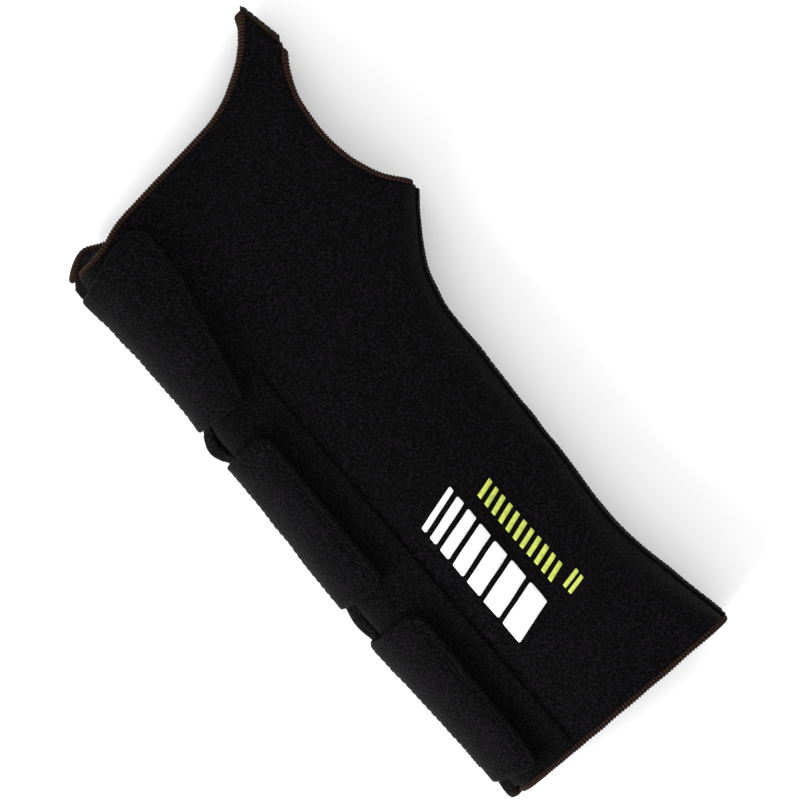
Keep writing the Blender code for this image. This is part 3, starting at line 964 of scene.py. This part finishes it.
def noise_value(tree, place, size, detail=2.0):
    inputs = {"Vector": place, "Scale": 1.0 / size, "Detail": detail}
    return add_node(tree, "TexNoise", inputs).outputs["Fac"]


def graded(tree, value, stops):
    """A colour ramp over a value: (place, colour) stops."""
    ramp = add_node(tree, "ValToRGB", {"Fac": value})
    elements = ramp.color_ramp.elements
    for element, (place, colour) in zip(elements, stops):
        element.position = place
        element.color = (*colour, 1.0)
    for place, colour in stops[2:]:
        elements.new(place).color = (*colour, 1.0)
    return ramp.outputs["Color"]


def multiplied(tree, first, second):
    """Two colours multiplied. The Mix node's colours are its inputs 6 and 7 and its output 2."""
    inputs = {0: 1.0, 6: first, 7: second}
    return add_node(tree, "Mix", inputs, data_type="RGBA", blend_type="MULTIPLY").outputs[2]


def raised(tree, shader, height, distance):
    bump = add_node(tree, "Bump", {"Height": height, "Distance": distance, "Strength": 1.0})
    tree.links.new(bump.outputs["Normal"], shader.inputs["Normal"])


def total(tree, first, second, weight):
    """The first value plus the second times a weight."""
    scaled = add_node(tree, "Math", {0: second, 1: weight}, operation="MULTIPLY").outputs[0]
    return add_node(tree, "Math", {0: first, 1: scaled}, operation="ADD").outputs[0]


def napped_fabric(name, tones, fleck, nap, height, roughness, specular, sheen):
    """Brushed knit: fine flecks of two tones, slow patches of wear and a nap with depth."""
    tree, shader = new_material(name, roughness, specular, sheen=sheen)
    place = object_place(tree)
    flecks = graded(tree, noise_value(tree, place, fleck, 3.0), ((0.45, tones[0]), (0.68, tones[1])))
    worn = graded(tree, noise_value(tree, place, 0.035), ((0.3, (0.78,) * 3), (0.7, (1.0,) * 3)))
    tree.links.new(multiplied(tree, flecks, worn), shader.inputs["Base Color"])
    cells = add_node(tree, "TexVoronoi", {"Vector": place, "Scale": 1.0 / nap}).outputs["Distance"]
    raised(tree, shader, total(tree, cells, noise_value(tree, place, 3.5 * nap, 4.0), 1.4), height)


def spun_thread(name, tones, roughness, specular, sheen):
    """Twisted thread: short streaks of two tones."""
    tree, shader = new_material(name, roughness, specular, sheen=sheen)
    place = object_place(tree)
    streaks = graded(tree, noise_value(tree, place, 0.0006), ((0.35, tones[0]), (0.65, tones[1])))
    tree.links.new(streaks, shader.inputs["Base Color"])
    raised(tree, shader, noise_value(tree, place, 0.00018), 0.00008)


def woven_tape(name, tones, pitch):
    """Flat woven tape: two crossed sets of ribs."""
    tree, shader = new_material(name, 0.75, 0.05, sheen=0.015)
    place = object_place(tree)
    inputs = {"Vector": place, "Scale": 1.0 / pitch / 6.0, "Distortion": 0.4, "Detail": 1.0}
    ribs = [
        add_node(tree, "TexWave", inputs, bands_direction=axis).outputs["Fac"]
        for axis in ("X", "Y")
    ]
    weave = add_node(tree, "Math", {0: ribs[0], 1: ribs[1]}, operation="MULTIPLY").outputs[0]
    tone = total(tree, weave, noise_value(tree, place, 0.004), 0.5)
    colour = graded(tree, tone, ((0.1, tones[0]), (0.9, tones[1])))
    tree.links.new(colour, shader.inputs["Base Color"])
    raised(tree, shader, weave, 0.00025)


def brushed_metal(name):
    tree, shader = new_material(name, 0.35, 0.5, metallic=1.0)
    streaks = noise_value(tree, object_place(tree, (1.0, 0.03, 1.0)), 0.0005, 4.0)
    colour = graded(tree, streaks, ((0.3, (0.55, 0.55, 0.57)), (0.7, (0.75, 0.75, 0.77))))
    tree.links.new(colour, shader.inputs["Base Color"])
    rough = add_node(tree, "MapRange", {"Value": streaks, "To Min": 0.28, "To Max": 0.5})
    tree.links.new(rough.outputs["Result"], shader.inputs["Roughness"])
    raised(tree, shader, streaks, 0.00003)


def rubber_print(name, tones):
    """Heat-set ink: the knit shows through as fine pits and paler worn specks."""
    tree, shader = new_material(name, 0.55, 0.3)
    place = object_place(tree)
    colour = graded(tree, noise_value(tree, place, 0.0012, 4.0), ((0.28, tones[0]), (0.55, tones[1])))
    tree.links.new(colour, shader.inputs["Base Color"])
    raised(tree, shader, noise_value(tree, place, 0.0004), 0.00008)


def pale_floor(name):
    tree, shader = new_material(name, 0.9, 0.1)
    soft = noise_value(tree, object_place(tree), 0.25)
    colour = graded(tree, soft, ((0.3, (0.90, 0.90, 0.90)), (0.7, (0.92, 0.92, 0.92))))
    tree.links.new(colour, shader.inputs["Base Color"])


def make_materials():
    napped_fabric("neoprene", NEOPRENE_TONES, 0.0008, 0.00055, 0.00030, 0.72, 0.04, 0.020)
    napped_fabric("foam", FOAM_TONES, 0.0005, 0.00040, 0.00015, 0.85, 0.06, 0.0)
    napped_fabric("lining", LINING_TONES, 0.0010, 0.00065, 0.00030, 0.90, 0.08, 0.02)
    napped_fabric("loop", LOOP_TONES, 0.0007, 0.00045, 0.00040, 0.90, 0.04, 0.015)
    napped_fabric("hook", HOOK_TONES, 0.0007, 0.00120, 0.00010, 0.50, 0.20, 0.0)
    napped_fabric("binding", BINDING_TONES, 0.0007, 0.00050, 0.00020, 0.85, 0.08, 0.01)
    spun_thread("binding_thread", BINDING_THREAD_TONES, 0.70, 0.12, 0.01)
    spun_thread("thread", THREAD_TONES, 0.60, 0.06, 0.0)
    spun_thread("loop_fibre", LOOP_TONES, 0.60, 0.08, 0.01)
    spun_thread("hook_nylon", HOOK_TONES, 0.35, 0.35, 0.0)
    woven_tape("webbing", WEBBING_TONES, 0.0011)
    brushed_metal("aluminium")
    rubber_print("white_print", WHITE_TONES)
    rubber_print("lime_print", LIME_TONES)
    pale_floor("floor")


# ---- Soft pieces ----


def give_material(obj, name):
    obj.data.materials.clear()
    obj.data.materials.append(finishes[name])
    for polygon in obj.data.polygons:
        polygon.material_index = 0


def line_inside(obj):
    """The lining on the faces that look into the tube."""
    obj.data.materials.append(finishes["lining"])
    for polygon in obj.data.polygons:
        x, y, z = polygon.center
        centre = rollers(y)[0]
        core_x = min(max(x, FOLD[0]), centre[0])
        share = (core_x - FOLD[0]) / (centre[0] - FOLD[0])
        core_z = FOLD[1] + share * (centre[1] - FOLD[1])
        inward = (core_x - x) * polygon.normal.x + (core_z - z) * polygon.normal.z
        polygon.material_index = int(inward > 0)


def show_layers(obj):
    """A tab's cut edge shows its foam, and its underside the lining."""
    for name in ("foam", "lining"):
        obj.data.materials.append(finishes[name])
    for polygon in obj.data.polygons:
        x, y, _ = polygon.center
        outward = on_top(x, y, TAB_TOP)[1] @ np.array(polygon.normal)
        if outward < -0.5:
            polygon.material_index = 2
        elif outward < 0.45:
            polygon.material_index = 1


def clothe(obj, material, nodes=()):
    """The last steps on a soft piece: it settles, gets its material and stands for its CAD nodes."""
    set_points(obj, settle(points_of(obj)))
    if not obj.data.materials:
        give_material(obj, material)
    if nodes:
        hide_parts(*nodes)
    return obj


def section_length(path):
    """The width of a panel laid flat, at its widest."""
    lengths = []
    for y in np.linspace(CUFF_Y, TIP_Y, SECTION_SAMPLES):
        line = np.array([(p[0], 0.0, p[1]) for p, _ in path(y)])
        lengths.append(distance_along(line)[-1])
    return max(lengths)


def make_dorsal_panel():
    panel = shell("dorsal_fabric", dorsal_path, (CUFF_Y + EDGE_INSET, PAST_TIP_Y), 0.0, -NEOPRENE)
    trim(panel, [beyond_fingers(FINGER_EDGE_DORSAL, EDGE_INSET)])
    trim(panel, [thumb_circle(EDGE_INSET)])
    even_mesh(panel, PANEL_VOXEL, 3)
    give_material(panel, "neoprene")
    line_inside(panel)
    clothe(panel, "neoprene", ["dorsal_panel"])
    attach(panel, "sleeve")
    section_length(dorsal_path)


def make_palm_shell():
    """The palm panel and the flap in one sheet, which folds at the flap's hinge."""
    sheet = shell("palm_fabric", palm_path, (CUFF_Y + EDGE_INSET, PAST_TIP_Y), 0.0, -NEOPRENE)
    trim(sheet, [beyond_fingers(FINGER_EDGE_PALMAR, EDGE_INSET)])
    trim(sheet, [thumb_circle(EDGE_INSET)])
    edge_z = FOLD[1] + OUTER_RADIUS * math.sin(GAP_EDGE)
    spans = sorted((corners[-1][1], corners[0][1]) for corners in TABS.values())
    starts = [-GAP_REACH, *(end for _, end in spans)]
    ends = [*(start for start, _ in spans), GAP_REACH]
    for start, end in zip(starts, ends):
        outline = rounded(rectangle((ULNAR_X, (start + end) / 2), (GAP_CUT_WIDTH, end - start), 0.0))
        trim(sheet, [outline], low=edge_z)
    even_mesh(sheet, PANEL_VOXEL, 3)
    give_material(sheet, "neoprene")
    line_inside(sheet)
    clothe(sheet, "neoprene", ["palmar_panel", "ulnar_flap"])
    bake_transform(sheet)
    section_length(palm_path)


def tab_seam(corners, distance):
    """The line a distance inside a tab's edge, laid on its outer face."""
    outline = rounded(inset(corners, distance))
    line = resampled(np.column_stack([outline, np.zeros(len(outline))]), CORNER_STEP)
    line = line[line[:, 0] > ULNAR_X + HINGE_MARGIN]
    points, normals = laid_on_top(line[:, :2], TAB_TOP)
    rows = resampled(np.concatenate([points, normals], axis=1), SEAM_STEP)
    return rows[:, :3], unit(rows[:, 3:])


def tab_block(corners):
    """The Y range and the greatest X of the block that a tab is cut from."""
    x, y = rounded(corners).T
    return (y.min() - TAB_SLACK, y.max() + TAB_SLACK), x.max() + TAB_REACH_SLACK


def tab_threads(name, corners):
    """The stitching round a tab and the zigzag along its hinge."""
    points, normals = tab_seam(corners, TAB_STITCH_INSET)
    stitches = run_of_stitches(points - normals * STITCH_SINK, normals)
    (x, z), normal = arc(FOLD, OUTER_RADIUS, TAB_HINGE, TAB_HINGE, 1)[0]
    ys = np.arange(corners[-1][1] + TAB_SLACK, corners[0][1] - TAB_SLACK, SEAM_STEP)
    root = np.array([(x + ROOT_SINK, y, z) for y in ys])
    stitches += zigzag(root, np.tile((normal[0], 0.0, normal[1]), (len(ys), 1)), *ROOT_ZIGZAG)
    return tubes(f"{name}_tab_threads", stitches, THREAD, "thread")


def make_tab(name, corners):
    outline = rounded(corners)
    y_range, reach = tab_block(corners)
    path = over_fold(reach, TAB_HINGE - half_gap_angle(OUTER_RADIUS), 8, 20)
    tab = shell(f"{name}_tab_fabric", path, y_range, TAB_TOP, TAB_BOTTOM)
    trim(tab, [outline], "INTERSECT")
    even_mesh(tab, TAB_VOXEL, 4)
    press_seams(tab, tab_seam(corners, TAB_STITCH_INSET)[0], SEAM_DEPTH, SEAM_WIDTH)
    give_material(tab, "neoprene")
    show_layers(tab)
    clothe(tab, "neoprene", [f"tab_{name}"])
    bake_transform(tab)
    threads = tab_threads(name, corners)
    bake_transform(threads)
    hooks = make_hooks(name, corners)


def hook_line(x, y, height):
    """One hook, from inside its backing down to its bent tip."""
    root, up = on_top(x, y, height)
    bend = np.array([0.0, HOOK_HEIGHT, 0.0])
    tip = root - up * HOOK_HEIGHT
    return [
        root + ROOT * up,
        root - 0.7 * HOOK_HEIGHT * up,
        tip + 0.4 * bend,
        tip + bend + 0.3 * HOOK_HEIGHT * up,
    ]


def make_hooks(name, corners):
    """The hook patch under a tab: its backing and its rows of nylon hooks."""
    patch = inset(corners, HOOK_MARGIN)
    y_range, reach = tab_block(corners)
    top, bottom = HOOK_BOTTOM + HOOK_THICKNESS, HOOK_BOTTOM + HOOK_HEIGHT
    backing = shell(f"{name}_hook_patch", over_fold(reach, HOOK_END, 20, 12), y_range, top, bottom)
    trim(backing, [rounded(patch)], "INTERSECT")
    clothe(backing, "hook", [f"hook_patch_{name}"])
    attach(backing, f"{name}_tab")
    lines = []
    inner = rounded(inset(patch, HOOK_PITCH / 2))
    first_x = FOLD[0] + (FOLD_RADIUS + bottom) * math.cos(HOOK_END) + HOOK_PITCH / 2
    for x in np.arange(first_x, reach, HOOK_PITCH):
        for y in np.arange(*y_range, HOOK_PITCH):
            if holds(inner, x, y):
                lines.append(hook_line(x, y, bottom))
    hooks = tubes(f"{name}_hooks", lines, HOOK_WIRE, "hook_nylon", 4)
    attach(hooks, f"{name}_tab")
    return [backing, hooks]


def holds(outline, x, y):
    """Whether a closed outline holds a point."""
    start, end = outline, np.roll(outline, -1, axis=0)
    crosses = (start[:, 1] > y) != (end[:, 1] > y)
    rise = np.where(crosses, end[:, 1] - start[:, 1], 1.0)
    at = start[:, 0] + (y - start[:, 1]) / rise * (end[:, 0] - start[:, 0])
    return bool(np.count_nonzero(crosses & (at > x)) % 2)


def make_landing_strip():
    """Loop tape: a thin backing, its loose pile and the stitching along its edge."""
    path = over_fold(STRIP_EDGE_X, STRIP_END, 24, 26)
    top = STRIP_BOTTOM + LOOP_THICKNESS
    strip = shell("loop_strip", path, STRIP_RANGE, top, 0.0, STRIP_ROW_STEP)
    stations = np.array([p for p, _ in path(0.0)])
    clothe(strip, "loop", ["loop_landing_strip"])
    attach(strip, "sleeve")
    seam = [(STRIP_EDGE_X - STRIP_STITCH_INSET, y) for y in np.arange(*STRIP_RANGE, SEAM_STEP)]
    stitches = run_of_stitches(*laid_on_top(seam, top - ROOT))
    threads = tubes("loop_strip_threads", stitches, THREAD, "thread")
    fibres = tubes("loop_strip_pile", pile_loops(path, top), PILE_FIBRE, "loop_fibre", 3)
    for piece in (threads, fibres):
        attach(piece, "sleeve")


def pile_loop(foot, up, turn, reach):
    """One arch of fibre standing on the tape, turned about its normal."""
    across = np.array([up[2], 0.0, -up[0]])
    lean = reach * (math.cos(turn) * np.array([0.0, 1.0, 0.0]) + math.sin(turn) * across)
    crown = foot + 0.8 * reach * up
    return [foot - lean - ROOT * up, crown - 0.6 * lean, crown + 0.6 * lean, foot + lean - ROOT * up]


def pile_loops(path, top):
    """Small arches of fibre scattered over the loop tape, each turned its own way."""
    chance = np.random.default_rng(PILE_SEED)
    loops = []
    for y in np.arange(STRIP_RANGE[0] + PILE_MARGIN, STRIP_RANGE[1] - PILE_MARGIN, PILE_PITCH):
        line = np.array([np.concatenate([p, n]) for p, n in path(y)])
        length = distance_along(np.insert(line[:, :2], 1, 0.0, axis=1))
        for at in np.arange(PILE_START, length[-1] - SEAM_STEP, PILE_PITCH):
            along_y, along = (chance.random(2) - 0.5) * PILE_PITCH
            px, pz, nx, nz = (np.interp(at + along, length, column) for column in line.T)
            up = np.array([nx, 0.0, nz])
            foot = np.array([px, y + along_y, pz]) + top * up
            turn = chance.random() * math.pi
            reach = PILE_HEIGHT * (0.7 + 0.6 * chance.random())
            loops.append(pile_loop(foot, up, turn, reach))
    return loops


def make_binding(name, frames, nodes, blended=False):
    """A rounded bead along a cut edge with overlock thread round it."""
    points, normals, outward = frames
    bead = sweep(name, points, normals, outward, bead_profile(), "binding")
    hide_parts(*nodes)
    loops = overlock(points, normals, outward)
    wrap = tubes(f"{name}_overlock", loops, OVERLOCK_THREAD, "binding_thread", 5)
    for piece in (bead, wrap):
        if blended:
            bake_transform(piece)
        else:
            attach(piece, "sleeve")


def make_bindings():
    back = len(dorsal_path(0.0))
    above_gap = round(OUTER_FOLD_STEPS * (GAP_EDGE - TAB_HINGE) / (1.5 * math.pi - TAB_HINGE))
    palm = len(palm_path(0.0)) - 1 - above_gap
    finger = finger_edge_line(dorsal_path, FINGER_EDGE_DORSAL, back)
    make_binding("finger_edge_back", finger, ["finger_binding_dorsal"])
    finger = finger_edge_line(palm_path, FINGER_EDGE_PALMAR, palm)
    make_binding("finger_edge_palm", finger, ["finger_binding_palmar", "finger_binding_flap"], True)
    make_binding("cuff_edge_back", cuff_edge_line(dorsal_path, back), ["cuff_binding_dorsal"])
    make_binding("cuff_edge_palm", cuff_edge_line(palm_path, palm), ["cuff_binding_palmar"], True)
    make_binding("thumb_edge_back", thumb_edge_line(on_top), ["thumb_binding_dorsal"])
    make_binding("thumb_edge_palm", thumb_edge_line(under_palm), ["thumb_binding_palmar"])


def make_seam_tape(name, half_angle, y_range, node, material, thread):
    """A tape over the radial seam, sewn down with a zigzag."""
    top = GAP + SEAM_TAPE_THICKNESS
    tape = shell(name, across_radial_seam(half_angle), y_range, top, 0.0, FINE_ROW_STEP)
    trim(tape, [thumb_circle(2 * EDGE_INSET)])
    trim(tape, [beyond_fingers(FINGER_EDGE_DORSAL, EDGE_INSET)])
    clothe(tape, material, [node])
    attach(tape, "sleeve")
    points = []
    for y in np.arange(y_range[0] + TAPE_END, y_range[1] - TAPE_END, SEAM_STEP):
        centre, radius, _ = rollers(y)
        x = centre[0] + radius + GAP + SEAM_TAPE_THICKNESS
        off_thumb = from_thumb_centre(x, y) > THUMB_RADIUS + BINDING_WIDTH
        if off_thumb and y < finger_y(FINGER_EDGE_DORSAL, x) - TAPE_END:
            points.append((x, y, centre[1]))
    stitches = zigzag(np.array(points), np.tile((1.0, 0.0, 0.0), (len(points), 1)), *TAPE_ZIGZAG)
    threads = tubes(f"{name}_threads", stitches, THREAD, thread)
    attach(threads, "sleeve")


def round_edges(obj):
    bevel = obj.modifiers.new("bevel", "BEVEL")
    bevel.width = EDGE_BEVEL
    bevel.segments = 3
    bevel.limit_method = "ANGLE"


def pocket_seam():
    """The run of stitches round the pocket and the bar tacks beside its mouth."""
    low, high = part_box("splint_pocket")
    left, right = low.x + POCKET_STITCH_INSET, high.x - POCKET_STITCH_INSET
    centre = ((low.x + high.x) / 2, (low.y + high.y) / 2)
    size = (high.x - low.x - 2 * POCKET_STITCH_INSET, high.y - low.y - 2 * POCKET_STITCH_INSET)
    outline = rounded(rectangle(centre, size, POCKET_CORNER))
    outline = np.concatenate([outline, outline[:1]])
    seam_z = POCKET_LIFT + 0.2 * THREAD
    rows = resampled(np.column_stack([outline, np.full(len(outline), seam_z)]), SEAM_STEP)
    down = np.tile((0.0, 0.0, -1.0), (len(rows), 1))
    stitches = run_of_stitches(rows, down)
    for x in (left, right):
        ys = np.arange(low.y + POCKET_CORNER, low.y + TACK_END, CORNER_STEP)
        line = np.array([(x, y, seam_z) for y in ys])
        stitches += zigzag(line, down[: len(line)], *TACK_ZIGZAG)
    return stitches


def make_pocket():
    """The stay's pocket keeps its CAD shape, with its edges rounded off and its stitching added."""
    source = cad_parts["splint_pocket"]
    pocket = bpy.data.objects.new("stay_pocket", source.data.copy())
    bpy.context.scene.collection.objects.link(pocket)
    weld = pocket.modifiers.new("weld", "WELD")
    weld.merge_threshold = WELD_DISTANCE
    round_edges(pocket)
    apply_modifiers(pocket)
    co = points_of(pocket)
    co[:, 2] = np.maximum(co[:, 2], POCKET_LIFT)
    set_points(pocket, co)
    give_material(pocket, "webbing")
    pocket.data.shade_smooth()
    pocket.data.set_sharp_from_angle(angle=SHARP_ANGLE)
    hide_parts("splint_pocket")
    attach(pocket, "sleeve")
    threads = tubes("stay_pocket_threads", pocket_seam(), THREAD, "thread")
    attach(threads, "sleeve")


def make_splint():
    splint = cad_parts["aluminium_splint"]
    round_edges(splint)
    give_material(splint, "aluminium")


def make_print(name, bars, patch, material, node):
    """Printed bars on the dorsal panel, following its crown."""
    centre, size = patch
    half_x, half_y = size[0] / 2 + PRINT_MARGIN, size[1] / 2 + PRINT_MARGIN

    def crown(y):
        return top_line(y, centre[0] + half_x, centre[0] - half_x, PRINT_STEPS)

    plate = shell(name, crown, (centre[1] - half_y, centre[1] + half_y), PRINT_TOP, -PRINT_ROOT)
    trim(plate, bars, "INTERSECT")
    clothe(plate, material, [node])
    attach(plate, "sleeve")


def slanted_bars(centre, size, widths, gap, slant, corner):
    """A row of leaning bars along Y, whose widths run from the first to the last."""
    share = (size[1] - gap * (len(widths) - 1) - slant) / sum(widths)
    bars = []
    y = centre[1] - size[1] / 2
    left, right = centre[0] - size[0] / 2, centre[0] + size[0] / 2
    for width in widths:
        span = width * share
        corners = (
            (left, y + span, corner), (right, y + span + slant, corner),
            (right, y + slant, corner), (left, y, corner),
        )
        bars.append(rounded(corners))
        y += span + gap
    return bars


def make_prints():
    make_print("white_bars", slanted_bars(*WHITE_ROW), WHITE_ROW[:2], "white_print", "print_white")
    lime = slanted_bars(*LIME_ROW) + slanted_bars(*LIME_PAIR)
    make_print("lime_bars", lime, LIME_PATCH, "lime_print", "print_lime")


# ---- Floor, light and camera ----


def make_stage():
    """The floor, an even white sky and three soft lamps, the strongest on the ulnar side."""
    corners = [(x, y, 0.0) for x, y in ((-1, -1), (1, -1), (1, 1), (-1, 1))]
    floor = new_object("floor", np.array(corners) * FLOOR_SIZE, [(0, 1, 2, 3)], "floor")
    world = bpy.data.worlds.new("studio")
    world.use_nodes = True
    world.node_tree.nodes["Background"].inputs["Strength"].default_value = SKY
    world.node_tree.nodes["Background"].inputs["Color"].default_value = (1.0, 1.0, 1.0, 1.0)
    bpy.context.scene.world = world
    for name, place, size, power in LAMPS:
        lamp = bpy.data.lights.new(name, "AREA")
        lamp.size = size
        lamp.energy = power
        obj = bpy.data.objects.new(name, lamp)
        obj.location = place
        obj.rotation_euler = (-Vector(place)).to_track_quat("-Z", "Y").to_euler()
        bpy.context.scene.collection.objects.link(obj)


def make_camera():
    camera = bpy.data.cameras.new("camera")
    camera.sensor_width = SENSOR_MM
    camera.lens = SENSOR_MM * CAMERA_DISTANCE / VIEW_WIDTH
    camera.clip_end = FAR_CLIP
    obj = bpy.data.objects.new("camera", camera)
    up = Vector((0, 0, 1)).cross(PICTURE_RIGHT)
    turn = Matrix((PICTURE_RIGHT, up, Vector((0, 0, 1)))).transposed()
    obj.matrix_world = Matrix.Translation(AIM + Vector((0, 0, CAMERA_DISTANCE))) @ turn.to_4x4()
    bpy.context.scene.collection.objects.link(obj)
    bpy.context.scene.camera = obj


def main():
    noise.seed_set(NOISE_SEED)
    remember_wear(*simulate_wear())
    make_materials()
    make_dorsal_panel()
    make_palm_shell()
    for name, corners in TABS.items():
        make_tab(name, corners)
    make_landing_strip()
    make_bindings()
    make_seam_tape(
        "forearm_seam_tape", FOREARM_TAPE_ANGLE, FOREARM_TAPE, "radial_seam_tape", "webbing", "thread",
    )
    make_seam_tape(
        "web_strap_seam_tape", WEB_TAPE_ANGLE, WEB_TAPE, "web_seam_tape", "binding", "binding_thread",
    )
    make_pocket()
    make_splint()
    make_prints()
    make_stage()
    make_camera()
    bpy.context.scene.view_settings.view_transform = "Standard"


main()
